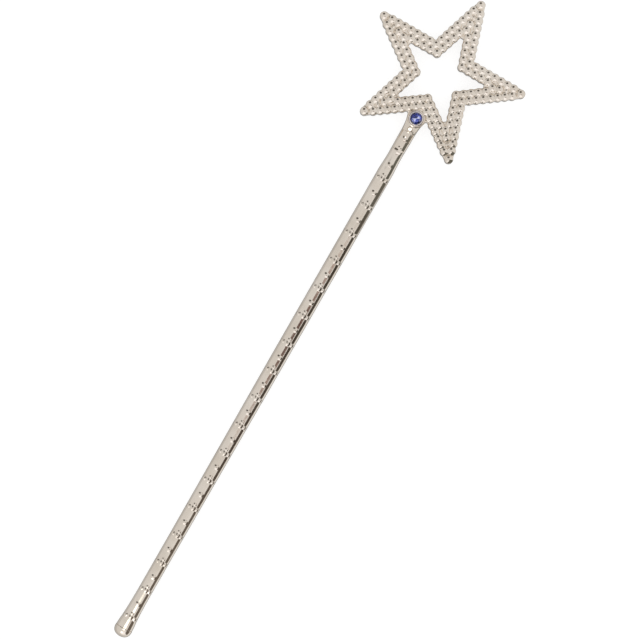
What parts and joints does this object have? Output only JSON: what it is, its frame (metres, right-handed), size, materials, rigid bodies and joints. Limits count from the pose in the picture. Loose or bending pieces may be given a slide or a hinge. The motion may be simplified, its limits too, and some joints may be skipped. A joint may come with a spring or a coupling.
{
  "type": "toy magic wand",
  "caption": "Silver metallised toy wand with an open beaded star head, a faceted blue gem at its neck and a slim beaded shaft with a rounded pommel.",
  "frame": {"origin": "middle of the wand's length and width, on the surface it lies on, star face up", "axes": "+Y along the shaft from the pommel to the star's top point, +Z out of the star's front face, X across the star"},
  "size_m": [0.0818, 0.3598, 0.0093],
  "materials": {
    "silver_star": "vacuum-metallised silver, mirror bright with fine orange peel",
    "silver_shaft": "vacuum-metallised silver, mirror bright with fine orange peel",
    "silver_pommel": "vacuum-metallised silver, mirror bright, rubbed at the end",
    "gem_cup": "thin plated cup, bright",
    "gem": "faceted blue acrylic with a foil back"
  },
  "bodies": {
    "root": {"star_front_shell": "silver_star", "star_back_shell": "silver_star", "rod_front_shell": "silver_shaft", "rod_back_shell": "silver_shaft", "pommel_cap": "silver_pommel", "gem_cup": "gem_cup", "gem": "gem"}
  },
  "joints": []
}
